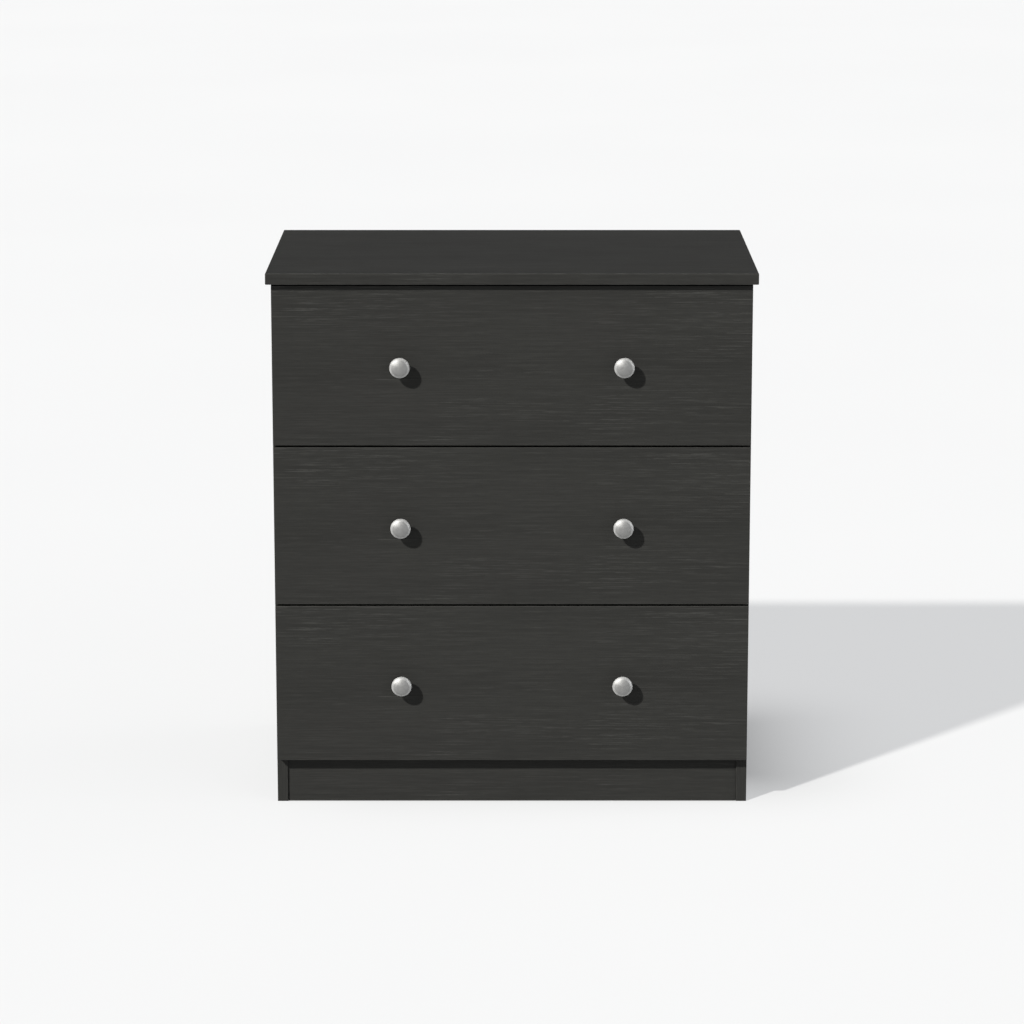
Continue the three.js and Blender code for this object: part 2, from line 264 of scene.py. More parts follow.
def edge_distance(graph, place, low, high):
    """How far a point on a box's surface is from the nearest edge of the box."""
    middle = (low + high) / 2
    half = (high - low) / 2
    outward = graph.vector_math("ABSOLUTE", graph.vector_math("SUBTRACT", place, tuple(middle)))
    x, y, z = graph.split(graph.vector_math("SUBTRACT", tuple(half), outward))
    lesser = graph.math("MINIMUM", x, y)
    greater = graph.math("MAXIMUM", x, y)
    return graph.math("MAXIMUM", lesser, graph.math("MINIMUM", greater, z))


def lively_patches(graph, start, size):
    """From 0 to 1: how far inside one of the lively patches a point of a drawer front is."""
    x, _, z = graph.split(start)
    total = 0.0
    for middle, reach in LIVELY_PATCHES:
        offsets = []
        for value, length, share, span in zip((x, z), (size.x, size.z), middle, reach):
            offset = graph.math("SUBTRACT", value, share * length)
            offsets.append(graph.math("POWER", graph.math("DIVIDE", offset, span * length), 2.0))
        inside = graph.math("SUBTRACT", 1.0, graph.math("ADD", *offsets), clamp=True)
        total = graph.math("ADD", total, inside, clamp=True)
    return total


def charcoal_board(name, axis, group, low, high, is_front, wear):
    """Dark wood-grain melamine on a board that fills a box. The pattern starts from the low corner."""
    material, graph, shader = new_material(name)
    coordinates = graph.add("ShaderNodeTexCoord")
    place = coordinates.outputs["Object"]
    start = graph.vector_math("SUBTRACT", place, tuple(low))
    along, across = GRAIN_ORDERS[axis]
    facing = dict(zip("xyz", graph.split(coordinates.outputs["Normal"])))[axis]
    end_face = graph.math("GREATER_THAN", graph.math("ABSOLUTE", facing), 0.7)
    orders = (swizzled(graph, start, order) for order in (along, across))
    place_in_grain = graph.choose_vector(end_face, *orders)
    grain = graph.add("ShaderNodeGroup", node_tree=group)
    graph.feed(grain.inputs["Place"], place_in_grain)
    if is_front:
        graph.feed(grain.inputs["Lively"], lively_patches(graph, start, high - low))

    # Lighter edges: rubbed wear mixed with a painted edge highlight, made patchy by the rub noise.
    rub = graph.noise(start, scale=RUB_SCALE, detail=3.0)
    near = graph.remap(edge_distance(graph, place, low, high), 0.0, EDGE_WEAR_AND_HIGHLIGHT_WIDTH, 1.0, 0.0)
    edge_wear_and_highlight = graph.math("MULTIPLY", near, graph.remap(rub, 0.36, 0.66, wear * 0.4, wear))
    graph.feed(shader.inputs["Base Color"], graph.mix(edge_wear_and_highlight, grain.outputs["Color"], EDGE_WEAR_AND_HIGHLIGHT))
    smudge = graph.remap(graph.noise(start, scale=SMUDGE_SCALE, detail=3.0), 0.3, 0.7, -0.015, 0.015)
    graph.feed(shader.inputs["Roughness"], graph.math("ADD", grain.outputs["Roughness"], smudge))
    shader.inputs["Specular IOR Level"].default_value = BOARD_SPECULAR
    add_bump(graph, shader, grain.outputs["Height"], BOARD_BUMP, BOARD_RELIEF)
    return material


# ---- Other materials ----

FOIL_DARK = rgba(0.37, 0.36, 0.335)
FOIL_LIGHT = rgba(0.42, 0.41, 0.385)
FOIL_WEAVE = rgba(0.315, 0.305, 0.28)


def box_board_material():
    """Pale grey foil on the drawer boxes, with a fine linen texture and faint clouds."""
    material, graph, shader = new_material("box_board_foil")
    place = object_position(graph)
    cloud = graph.noise(place, scale=14.0, detail=4.0)
    weave_a = graph.noise(graph.scaled(place, (900.0, 140.0, 900.0)), detail=1.0)
    weave_b = graph.noise(graph.scaled(place, (900.0, 900.0, 140.0)), detail=1.0)
    weave = graph.math("ADD", graph.math("MULTIPLY", weave_a, 0.5), graph.math("MULTIPLY", weave_b, 0.5))
    base = graph.mix(graph.remap(cloud, 0.3, 0.7), FOIL_DARK, FOIL_LIGHT)
    base = graph.mix(graph.remap(weave, 0.40, 0.62, 0.0, 0.35), base, FOIL_WEAVE)
    graph.feed(shader.inputs["Base Color"], base)
    graph.feed(shader.inputs["Roughness"], graph.remap(cloud, 0.3, 0.7, 0.48, 0.62))
    add_bump(graph, shader, weave, 0.20, 0.12 * MM)
    return material


BROWN_DARK = rgba(0.165, 0.097, 0.052)
BROWN_LIGHT = rgba(0.205, 0.124, 0.068)
BROWN_FIBRE = rgba(0.33, 0.215, 0.125)
BROWN_SPECK = rgba(0.055, 0.030, 0.017)
PAINT_DARK = rgba(0.42, 0.41, 0.385)
PAINT_LIGHT = rgba(0.47, 0.46, 0.435)


def hardboard_material(name, painted):
    """Pressed-fibre board. The painted kind is pale on its upper face and brown underneath."""
    material, graph, shader = new_material(name)
    coordinates = graph.add("ShaderNodeTexCoord")
    place = coordinates.outputs["Object"]
    mottle = graph.noise(place, scale=11.0, detail=6.0, roughness=0.72)
    strands = graph.noise(graph.scaled(place, (230.0, 230.0, 900.0)), detail=3.0, roughness=0.7)
    cross_strands = graph.noise(graph.scaled(place, (900.0, 900.0, 230.0)), detail=3.0, roughness=0.7)
    fibres = graph.math("MAXIMUM", strands, cross_strands)
    specks = graph.remap(graph.noise(place, scale=700.0, detail=2.0), 0.64, 0.72)
    brown = graph.mix(graph.remap(mottle, 0.25, 0.75), BROWN_DARK, BROWN_LIGHT)
    brown = graph.mix(graph.remap(fibres, 0.50, 0.74, 0.0, 0.75), brown, BROWN_FIBRE)
    brown = graph.mix(graph.math("MULTIPLY", specks, 0.7), brown, BROWN_SPECK)
    color = brown
    roughness = graph.remap(mottle, 0.3, 0.7, 0.62, 0.78)
    if painted:
        up = graph.split(coordinates.outputs["Normal"])[2]
        top_face = graph.math("GREATER_THAN", up, 0.5)
        paint = graph.mix(graph.remap(mottle, 0.3, 0.7), PAINT_DARK, PAINT_LIGHT)
        color = graph.mix(top_face, brown, paint)
        roughness = graph.math("SUBTRACT", roughness, graph.math("MULTIPLY", top_face, 0.2))
    graph.feed(shader.inputs["Base Color"], color)
    graph.feed(shader.inputs["Roughness"], roughness)
    add_bump(graph, shader, graph.math("ADD", fibres, mottle), 0.25, 0.2 * MM)
    return material


# Painted reflection on the knobs: the base colour grows brighter towards the rim, standing in for light
# that the rim reflects.
KNOB_PAINTED_RIM_REFLECTION = (10.5 * MM, 14.2 * MM)  # radii between which the rim's painted reflection grows brighter
NICKEL_DARK = rgba(0.195, 0.195, 0.192)
NICKEL_LIGHT = rgba(0.232, 0.232, 0.228)
NICKEL_PAINTED_RIM_REFLECTION = rgba(0.66, 0.66, 0.65)
NICKEL_METALLIC = 0.8


def nickel_material():
    """Satin nickel, turned: fine rings round the knob's own axis, its local Z, and a painted reflection
    that makes the rim bright.
    """
    material, graph, shader = new_material("satin_nickel")
    place = graph.add("ShaderNodeTexCoord").outputs["Object"]
    x, y, z = graph.split(place)
    squares = (graph.math("POWER", value, 2.0) for value in (x, y))
    radius = graph.math("SQRT", graph.math("ADD", *squares))
    rings = graph.noise(graph.join(radius, 0.0, z), scale=2600.0, detail=3.0, roughness=0.7)
    haze = graph.noise(place, scale=160.0, detail=4.0)
    color = graph.mix(graph.remap(haze, 0.3, 0.7), NICKEL_DARK, NICKEL_LIGHT)
    # Painted reflection: the base colour turns much brighter towards the knob's rim.
    rim = graph.remap(radius, *KNOB_PAINTED_RIM_REFLECTION)
    color = graph.mix(rim, color, NICKEL_PAINTED_RIM_REFLECTION)
    graph.feed(shader.inputs["Base Color"], color)
    shader.inputs["Metallic"].default_value = NICKEL_METALLIC
    rough = graph.remap(rings, 0.3, 0.7, 0.53, 0.61)
    wear = graph.remap(haze, 0.35, 0.7, -0.03, 0.05)
    graph.feed(shader.inputs["Roughness"], graph.math("ADD", rough, wear))
    add_bump(graph, shader, rings, 0.10, 0.03 * MM)
    return material


ZINC_PLATE = (rgba(0.60, 0.62, 0.66), 0.34)  # color and roughness
ZINC_CASTING = (rgba(0.42, 0.42, 0.43), 0.48)
ZINC_BLOOM = 0.72  # how bright the bloom is, as a share of the clean metal


def zinc_material(name, color, roughness):
    """Plated or die-cast zinc with a cloudy bloom."""
    material, graph, shader = new_material(name)
    place = object_position(graph)
    bloom = graph.noise(place, scale=420.0, detail=4.0, roughness=0.6)
    dull = rgba(*(channel * ZINC_BLOOM for channel in color[:3]))
    graph.feed(shader.inputs["Base Color"], graph.mix(graph.remap(bloom, 0.35, 0.68), color, dull))
    shader.inputs["Metallic"].default_value = 1.0
    rough = graph.remap(bloom, 0.3, 0.7, roughness - 0.06, roughness + 0.10)
    graph.feed(shader.inputs["Roughness"], rough)
    add_bump(graph, shader, bloom, 0.15, 0.05 * MM)
    return material


COAT_WHITE = rgba(0.62, 0.61, 0.58)
COAT_RUBBED = rgba(0.43, 0.42, 0.395)


def coated_steel_material():
    """White epoxy coat with orange peel, and faint grey rub marks along the running direction."""
    material, graph, shader = new_material("white_epoxy_coat")
    place = object_position(graph)
    peel = graph.noise(place, scale=650.0, detail=2.0)
    rub = graph.noise(graph.scaled(place, (300.0, 8.0, 300.0)), detail=3.0, roughness=0.6)
    marks = graph.remap(rub, 0.56, 0.74, 0.0, 0.55)
    color = graph.mix(marks, COAT_WHITE, COAT_RUBBED)
    graph.feed(shader.inputs["Base Color"], color)
    graph.feed(shader.inputs["Roughness"], graph.remap(rub, 0.3, 0.7, 0.30, 0.44))
    add_bump(graph, shader, peel, 0.12, 0.08 * MM)
    return material


NYLON_DARK = rgba(0.70, 0.68, 0.62)
NYLON_LIGHT = rgba(0.80, 0.78, 0.73)
NYLON_SCATTER = (0.15, 2 * MM)  # weight and reach of the light that enters the plastic


def nylon_material():
    """Milky roller plastic with a faint moulding texture."""
    material, graph, shader = new_material("nylon")
    place = object_position(graph)
    cloud = graph.noise(place, scale=260.0, detail=3.0)
    base = graph.mix(graph.remap(cloud, 0.3, 0.7), NYLON_DARK, NYLON_LIGHT)
    graph.feed(shader.inputs["Base Color"], base)
    graph.feed(shader.inputs["Roughness"], graph.remap(cloud, 0.3, 0.7, 0.38, 0.52))
    shader.inputs["Subsurface Weight"].default_value = NYLON_SCATTER[0]
    shader.inputs["Subsurface Scale"].default_value = NYLON_SCATTER[1]
    add_bump(graph, shader, cloud, 0.10, 0.05 * MM)
    return material


FLOOR_DARK = rgba(0.226, 0.226, 0.226)
FLOOR_LIGHT = rgba(0.234, 0.234, 0.233)
FLOOR_GLOW = 0.585
FLOOR_GLOW_COLOR = rgba(0.98, 0.99, 1.0)
# Painted shade on the floor: its glow is dimmed beside the chest as a painted contact shadow, mostly on
# the shaded right and rear sides, and nearly off under the chest.
PAINTED_SHADOW_REACH = 0.35  # how far beside the chest the painted contact shadow reaches
PAINTED_SHADOW_LOSS = 0.5  # share of the glow that is lost right beside the chest, the darkest of the painted contact shadow
PAINTED_SHADOW_INSET = (0.20, 0.15)  # the painted contact shadow starts this far inside the lit left and front edges
PAINTED_SHADOW_FALL = 3.0  # how steeply the painted contact shadow falls off with distance
PAINTED_SHADE_UNDER_CHEST = 0.9  # share of the glow that is lost inside the chest's outline, as painted shade under it


def floor_glow(graph):
    """The strength of the floor's glow, with painted shade: a painted contact shadow beside the chest's
    shaded sides, and painted shade inside its outline.
    """
    foot_low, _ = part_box("side_panel_left")
    _, foot_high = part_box("side_panel_right")
    x, y, _ = graph.split(object_position(graph))
    squares = []
    covered = 1.0
    for value, low, high, inset in zip((x, y), foot_low, foot_high, PAINTED_SHADOW_INSET):
        before = graph.math("SUBTRACT", low + inset, value)
        after = graph.math("SUBTRACT", value, high)
        outside = graph.math("MAXIMUM", graph.math("MAXIMUM", before, after), 0.0)
        squares.append(graph.math("POWER", outside, 2.0))
        within = graph.math("COMPARE", value, (low + high) / 2, (high - low) / 2)
        covered = graph.math("MULTIPLY", covered, within)
    distance = graph.math("SQRT", graph.math("ADD", *squares))
    # The painted contact shadow and the painted shade under the chest are taken off the glow.
    near = graph.math("SUBTRACT", 1.0, graph.math("DIVIDE", distance, PAINTED_SHADOW_REACH), clamp=True)
    painted_shadow_beside = graph.math("MULTIPLY", graph.math("POWER", near, PAINTED_SHADOW_FALL), PAINTED_SHADOW_LOSS)
    painted_shade_loss = graph.math("MAXIMUM", painted_shadow_beside, graph.math("MULTIPLY", covered, PAINTED_SHADE_UNDER_CHEST))
    return graph.math("MULTIPLY", graph.math("SUBTRACT", 1.0, painted_shade_loss), FLOOR_GLOW)


def floor_material():
    """A plain pale matt floor. It glows a little, so that shadows on it stay pale."""
    material, graph, shader = new_material("pale_floor")
    place = object_position(graph)
    mottle = graph.noise(place, scale=0.7, detail=2.0)
    color = graph.mix(graph.remap(mottle, 0.2, 0.8), FLOOR_DARK, FLOOR_LIGHT)
    graph.feed(shader.inputs["Base Color"], color)
    shader.inputs["Roughness"].default_value = 1.0
    shader.inputs["Specular IOR Level"].default_value = 0.0
    shader.inputs["Emission Color"].default_value = FLOOR_GLOW_COLOR
    graph.feed(shader.inputs["Emission Strength"], floor_glow(graph))
    return material


# ---- Mesh helpers ----


def add_piece(name, mesh, body, material, replaces=None, matrix=None):
    """A shown piece: placed, dressed, riding on a body, and standing for a CAD node if one is named."""
    piece = bpy.data.objects.new(name, mesh)
    bpy.context.scene.collection.objects.link(piece)
    mesh.materials.clear()
    mesh.materials.append(material)
    if matrix is not None:
        piece.matrix_world = matrix
    if replaces:
        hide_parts(replaces)
    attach(piece, body)
    return piece


def curve_points(start, control, end, steps):
    """Points along a quadratic curve, without its start."""
    points = []
    for step in range(1, steps + 1):
        t = step / steps
        a, b, c = (1 - t) ** 2, 2 * t * (1 - t), t * t
        points.append(tuple(a * p + b * q + c * r for p, q, r in zip(start, control, end)))
    return points


def arc_points(middle, radius, start, end, steps):
    """Points of an arc in the plane of radius and height, angles in degrees from the radius axis."""
    angles = (math.radians(start + (end - start) * step / steps) for step in range(steps + 1))
    return [(middle[0] + radius * math.cos(a), middle[1] + radius * math.sin(a)) for a in angles]


def circle_points(radius, segments):
    angles = (2 * math.pi * step / segments for step in range(segments))
    return [(radius * math.cos(angle), radius * math.sin(angle)) for angle in angles]


def turned_mesh(name, outline, segments, closed=False):
    """A mesh of revolution about Z. The outline is a list of (radius, height)."""
    form = bmesh.new()
    rings = []
    for radius, height in outline:
        if radius < 1e-7:
            rings.append([form.verts.new((0.0, 0.0, height))])
            continue
        circle = circle_points(radius, segments)
        rings.append([form.verts.new((x, y, height)) for x, y in circle])
    pairs = list(zip(rings, rings[1:]))
    if closed:
        pairs.append((rings[-1], rings[0]))
    for low, high in pairs:
        for step in range(segments):
            after = (step + 1) % segments
            if len(low) == 1:
                form.faces.new((low[0], high[after], high[step]))
            elif len(high) == 1:
                form.faces.new((low[step], low[after], high[0]))
            else:
                form.faces.new((low[step], low[after], high[after], high[step]))
    bmesh.ops.recalc_face_normals(form, faces=form.faces)
    mesh = bpy.data.meshes.new(name)
    form.to_mesh(mesh)
    form.free()
    for face in mesh.polygons:
        face.use_smooth = True
    return mesh


def along_axis(axis, place):
    """A matrix that turns local Z to the given direction and moves to the given place."""
    turn = Vector(axis).to_track_quat("Z", "Y").to_matrix().to_4x4()
    return Matrix.Translation(place) @ turn


def joined_copies(name, mesh, matrices):
    """One mesh that holds a copy of another at each matrix."""
    form = bmesh.new()
    for matrix in matrices:
        copy = mesh.copy()
        copy.transform(matrix)
        form.from_mesh(copy)
        bpy.data.meshes.remove(copy)
    made = bpy.data.meshes.new(name)
    form.to_mesh(made)
    form.free()
    return made


def smooth_by_angle(piece, degrees=35.0):
    """Sharp edges stay sharp on a smooth-shaded mesh."""
    form = bmesh.new()
    form.from_mesh(piece.data)
    limit = math.radians(degrees)
    for edge in form.edges:
        edge.smooth = len(edge.link_faces) == 2 and edge.calc_face_angle() < limit
    form.to_mesh(piece.data)
    form.free()


# ---- Recessed fittings ----

CROSS_ARM = 0.30  # half width of a cross recess's arm, as a share of its reach
CROSS_FLOOR = 0.7  # size of the recess's floor, as a share of its mouth
HEAD_SHOULDER = 0.82  # radius at which a head's dome flattens, as a share of the head's radius
HEAD_FLAT = 0.3  # the part of the crown's height that lies inside the shoulder


def cross_corners(reach):
    """The twelve corners of a cross, anticlockwise."""
    arm = reach * CROSS_ARM
    quarter = [(reach, -arm), (reach, arm), (arm, arm)]
    corners = []
    for turn in range(4):
        angle = math.radians(90 * turn)
        cosine, sine = math.cos(angle), math.sin(angle)
        corners += [(x * cosine - y * sine, x * sine + y * cosine) for x, y in quarter]
    return corners


def recessed_head_mesh(name, radius, height, crown, reach, depth, segments=24):
    """A round head with a cross recess. It stands on the plane Z = 0 and is domed by its crown."""
    outer = circle_points(radius, segments)
    corners = cross_corners(reach)
    shoulder_height = height - crown * HEAD_FLAT
    form = bmesh.new()
    foot = [form.verts.new((x, y, 0.0)) for x, y in outer]
    wall = [form.verts.new((x, y, height - crown)) for x, y in outer]
    shoulder = [
        form.verts.new((x * HEAD_SHOULDER, y * HEAD_SHOULDER, shoulder_height)) for x, y in outer
    ]
    lip = [form.verts.new((x, y, height)) for x, y in corners]
    floor = [form.verts.new((x * CROSS_FLOOR, y * CROSS_FLOOR, height - depth)) for x, y in corners]
    for low, high in ((foot, wall), (wall, shoulder)):
        for step in range(segments):
            after = (step + 1) % segments
            form.faces.new((low[step], low[after], high[after], high[step]))
    per_corner = segments // len(corners)
    for index, corner in enumerate(lip):
        following = (index + 1) % len(lip)
        start = index * per_corner - per_corner // 2
        for step in range(per_corner):
            first = shoulder[(start + step) % segments]
            second = shoulder[(start + step + 1) % segments]
            form.faces.new((corner, first, second))
        last = shoulder[(start + per_corner) % segments]
        form.faces.new((corner, last, lip[following]))
        form.faces.new((corner, lip[following], floor[following], floor[index]))
    form.faces.new(floor)
    form.faces.new(list(reversed(foot)))
    bmesh.ops.recalc_face_normals(form, faces=form.faces)
    mesh = bpy.data.meshes.new(name)
    form.to_mesh(mesh)
    form.free()
    return mesh


# ---- Materials on the CAD nodes ----

GRAIN_AXES = {"side_panel_left": "z", "side_panel_right": "z"}
BOARD_BEVEL = 0.7 * MM
TOP_BEVEL = 1.1 * MM
BEVEL_ANGLE = 40
WELD_REACH = 0.01 * MM
# The top panel gets the stronger edge colour, partly wear and partly a painted highlight along its
# edges.
BOARD_EDGE_WEAR_AND_HIGHLIGHT = 0.4  # most of the edge's color that wear and the painted edge highlight show, from 0 to 1
TOP_EDGE_WEAR_AND_HIGHLIGHT = 0.75
BOX_BEVEL = 0.5 * MM
HARDBOARD_BEVEL = 0.3 * MM
RUNNER_BEVEL = 0.3 * MM
RUNNER_SHEET = 1.2 * MM
RUNNER_SEAM = 0.3 * MM  # between a runner's web and the board behind it
RUNNER_HOLES = (45 * MM, 200 * MM, 330 * MM)  # screws, from the runner's front end


def soften_edges(piece, width, segments):
    """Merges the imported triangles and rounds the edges, without changing the CAD mesh."""
    weld = piece.modifiers.new("weld", "WELD")
    weld.merge_threshold = WELD_REACH
    bevel = piece.modifiers.new("bevel", "BEVEL")
    bevel.width = width
    bevel.segments = segments
    bevel.limit_method = "ANGLE"
    bevel.angle_limit = math.radians(BEVEL_ANGLE)
    bevel.harden_normals = False
    piece.modifiers.new("normals", "WEIGHTED_NORMAL")


def dress(name, material, width, segments=2):
    piece = nodes[name]
    piece.data.materials.clear()
    piece.data.materials.append(material)
    soften_edges(piece, width, segments)


def dress_charcoal_boards():
    group = grain_group()
    names = ["top_panel", "side_panel_left", "side_panel_right", "plinth_front", "plinth_rear"]
    names += ["top_rail_front", "top_rail_rear"] + [f"{level}_drawer_front" for level in LEVELS]
    for name in names:
        low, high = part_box(name)
        axis = GRAIN_AXES.get(name, "x")
        is_top = name == "top_panel"
        wear = TOP_EDGE_WEAR_AND_HIGHLIGHT if is_top else BOARD_EDGE_WEAR_AND_HIGHLIGHT
        is_front = name.endswith("drawer_front")
        board = charcoal_board(f"charcoal_{name}", axis, group, low, high, is_front, wear)
        dress(name, board, TOP_BEVEL if is_top else BOARD_BEVEL, 3)


def dress_other_nodes(coat):
    box_board = box_board_material()
    painted = hardboard_material("painted_hardboard", painted=True)
    dress("back_panel", hardboard_material("raw_hardboard", painted=False), HARDBOARD_BEVEL)
    for level in LEVELS:
        for part in ("side_left", "side_right", "back"):
            dress(f"{level}_drawer_{part}", box_board, BOX_BEVEL)
        dress(f"{level}_drawer_bottom", painted, HARDBOARD_BEVEL)
        for side in SIDES:
            dress(f"cabinet_runner_{level}_{side}", coat, RUNNER_BEVEL)
            dress(f"{level}_drawer_runner_{side}", coat, RUNNER_BEVEL)


# ---- Knobs and their screws ----

KNOB_SEGMENTS = 96
KNOB_BASE_SHARE = 8.5 / 14.5  # of the knob's radius
KNOB_NECK_SHARE = 6.0 / 14.5
KNOB_RIM_SHARE = 16.0 / 24.7  # height of the widest circle, of the knob's height
KNOB_EDGE = 0.3 * MM  # radius of the rounded edge of the base
KNOB_FOOT = 0.9 * MM  # thickness of the base's edge
KNOB_CUP = 3.0 * MM  # from the widest circle down to the shoulder


def knob_outline(radius, height):
    """From the middle of the base, out and up the neck, round the rim and over the dome."""
    base = radius * KNOB_BASE_SHARE
    neck = radius * KNOB_NECK_SHARE
    rim = height * KNOB_RIM_SHARE
    crown = height - rim
    waist = (neck, rim * 0.5)
    shoulder = (radius * 0.70, rim - KNOB_CUP)
    crest = (radius * 0.82, rim + crown * 0.62)
    outline = [(0.0, 0.0), (base - KNOB_EDGE, 0.0)]
    outline += arc_points((base - KNOB_EDGE, KNOB_EDGE), KNOB_EDGE, -60, 0, 3)
    outline += [(base, KNOB_FOOT)]
    outline += curve_points((base, KNOB_FOOT), (neck, rim * 0.14), waist, 8)
    outline += curve_points(waist, (neck, shoulder[1]), shoulder, 8)
    outline += curve_points(shoulder, (radius, shoulder[1]), (radius, rim), 10)
    outline += curve_points((radius, rim), (radius, rim + crown * 0.34), crest, 10)
    outline += curve_points(crest, (radius * 0.5, height), (0.0, height), 16)
    return outline


def add_knobs():
    nickel = nickel_material()
    for level in LEVELS:
        for side in SIDES:
            node = f"{level}_knob_{side}"
            low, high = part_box(node)
            radius = (high.x - low.x) / 2
            name = f"{node}_turned"
            mesh = turned_mesh(name, knob_outline(radius, high.y - low.y), KNOB_SEGMENTS)
            base = ((low.x + high.x) / 2, high.y, (low.z + high.z) / 2)
            matrix = along_axis((0, -1, 0), base)
            add_piece(name, mesh, f"{level}_drawer", nickel, node, matrix)


# ---- Screws, nails and cam locks ----

SCREW_HEAD = 2.4 * MM  # thickness of a knob screw's head
SCREW_CROWN = 0.9 * MM
SCREW_RECESS = (2.1 * MM, 1.5 * MM)  # reach and depth of its cross recess
SHANK_SHARE = 0.47  # shank radius, of the head's radius
SHANK_TIP = 0.4  # radius of the tip, of the shank's radius
SHANK_SEGMENTS = 16
THREAD_PITCH = 0.8 * MM
THREAD_DEPTH = 0.3 * MM
FLUSH_PROUD = 0.25 * MM  # how far a countersunk head stands out
FLUSH_CROWN = 0.1 * MM
FLUSH_DEPTH = 0.2 * MM
RUNNER_SCREW = (3.4 * MM, 1.9 * MM)  # head radius and reach of the recess
REAR_SCREW = (3.6 * MM, 2.0 * MM)
CABINET_SCREW_HEIGHT = 12.7 * MM  # above the foot of a cabinet runner
DRAWER_SCREW_HEIGHT = 14.5 * MM  # above the foot of a drawer runner
CAM_RADIUS = 7.5 * MM
CAM_PROUD = 0.8 * MM
CAM_CROWN = 0.3 * MM
CAM_RECESS = (3.2 * MM, 0.7 * MM)
CAM_SETBACK = 24 * MM  # behind the front end of a drawer side
CAM_HEIGHTS = (0.22, 0.82)  # as shares of a drawer side's height
REAR_SCREW_HEIGHTS = (0.35, 0.85)
NAIL_RADIUS = 2.8 * MM
NAIL_PROUD = 0.5 * MM
NAIL_SEGMENTS = 20
NAIL_SPACING = 125 * MM
NAIL_EDGE = 7 * MM  # from the middle of a nail to the edge of the back panel
NAIL_FOOT = 21 * MM  # from the lowest nails to the panel's lower edge


def join_meshes(name, meshes):
    """One mesh that holds all the given meshes."""
    form = bmesh.new()
    for mesh in meshes:
        form.from_mesh(mesh)
        bpy.data.meshes.remove(mesh)
    made = bpy.data.meshes.new(name)
    form.to_mesh(made)
    form.free()
    return made


def shank_mesh(radius, length):
    """A threaded shank from Z = 0 down to a short blunt point."""
    turns = int((length - 2 * radius) / THREAD_PITCH)
    outline = [(0.0, 0.0), (radius, 0.0)]
    for turn in range(turns):
        top = -turn * THREAD_PITCH
        outline.append((radius - THREAD_DEPTH, top - THREAD_PITCH * 0.35))
        outline.append((radius, top - THREAD_PITCH * 0.8))
    outline += [(radius * SHANK_TIP, -length), (0.0, -length)]
    return turned_mesh("shank", outline, SHANK_SEGMENTS)


def add_group(name, mesh, places, body, material):
    """Copies of one fitting as one piece. A place is (point, direction that the fitting faces)."""
    matrices = [along_axis(direction, point) for point, direction in places]
    return add_piece(name, joined_copies(name, mesh, matrices), body, material)


def add_knob_screws(zinc):
    for level in LEVELS:
        for side in SIDES:
            node = f"{level}_knob_screw_{side}"
            low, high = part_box(node)
            middle = (low + high) / 2
            head_radius = (high.x - low.x) / 2
            shank = shank_mesh(head_radius * SHANK_SHARE, high.y - low.y - SCREW_HEAD)
            head = recessed_head_mesh("head", head_radius, SCREW_HEAD, SCREW_CROWN, *SCREW_RECESS)
            mesh = join_meshes(f"{node}_turned", [head, shank])
            mesh.transform(along_axis((0, 1, 0), (middle.x, high.y - SCREW_HEAD, middle.z)))
            add_piece(f"{node}_turned", mesh, f"{level}_drawer", zinc, node)


def add_runner_screws(zinc):
    """Countersunk screws hold the cabinet runners to the side panels, and the others to the drawers."""
    head_radius, reach = RUNNER_SCREW
    head = recessed_head_mesh("runner_screw", head_radius, FLUSH_PROUD, FLUSH_CROWN, reach, FLUSH_DEPTH)
    for level in LEVELS:
        for side, sign in SIDES.items():
            low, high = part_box(f"cabinet_runner_{level}_{side}")
            web = (low.x if sign < 0 else high.x) - sign * RUNNER_SHEET
            height = low.z + CABINET_SCREW_HEIGHT
            places = [((web, low.y + along, height), (-sign, 0, 0)) for along in RUNNER_HOLES]
            name = f"cabinet_runner_screws_{level}_{side}"
            add_group(name, head, places, "cabinet", zinc)
            side_low, side_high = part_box(f"{level}_drawer_side_{side}")
            low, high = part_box(f"{level}_drawer_runner_{side}")
            web = (side_low.x if sign < 0 else side_high.x) + sign * (RUNNER_SEAM + RUNNER_SHEET)
            height = low.z + DRAWER_SCREW_HEIGHT
            places = [((web, low.y + along, height), (sign, 0, 0)) for along in RUNNER_HOLES]
            name = f"{level}_drawer_runner_screws_{side}"
            add_group(name, head, places, f"{level}_drawer", zinc)


def add_drawer_fittings(zinc, cast):
    """Cam locks inside each drawer's front corners, and screws through its sides into its back."""
    cam = recessed_head_mesh("cam", CAM_RADIUS, CAM_PROUD, CAM_CROWN, *CAM_RECESS)
    head_radius, reach = REAR_SCREW
    screw = recessed_head_mesh("rear_screw", head_radius, FLUSH_PROUD, FLUSH_CROWN, reach, FLUSH_DEPTH)
    for level in LEVELS:
        back_low, back_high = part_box(f"{level}_drawer_back")
        for side, sign in SIDES.items():
            low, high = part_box(f"{level}_drawer_side_{side}")
            inner = low.x if sign > 0 else high.x
            outer = high.x if sign > 0 else low.x
            heights = [low.z + share * (high.z - low.z) for share in CAM_HEIGHTS]
            cams = [((inner, low.y + CAM_SETBACK, z), (-sign, 0, 0)) for z in heights]
            name = f"{level}_drawer_cam_locks_{side}"
            add_group(name, cam, cams, f"{level}_drawer", cast)
            heights = [low.z + share * (high.z - low.z) for share in REAR_SCREW_HEIGHTS]
            rear = (back_low.y + back_high.y) / 2
            screws = [((outer, rear, z), (sign, 0, 0)) for z in heights]
            name = f"{level}_drawer_rear_screws_{side}"
            add_group(name, screw, screws, f"{level}_drawer", zinc)


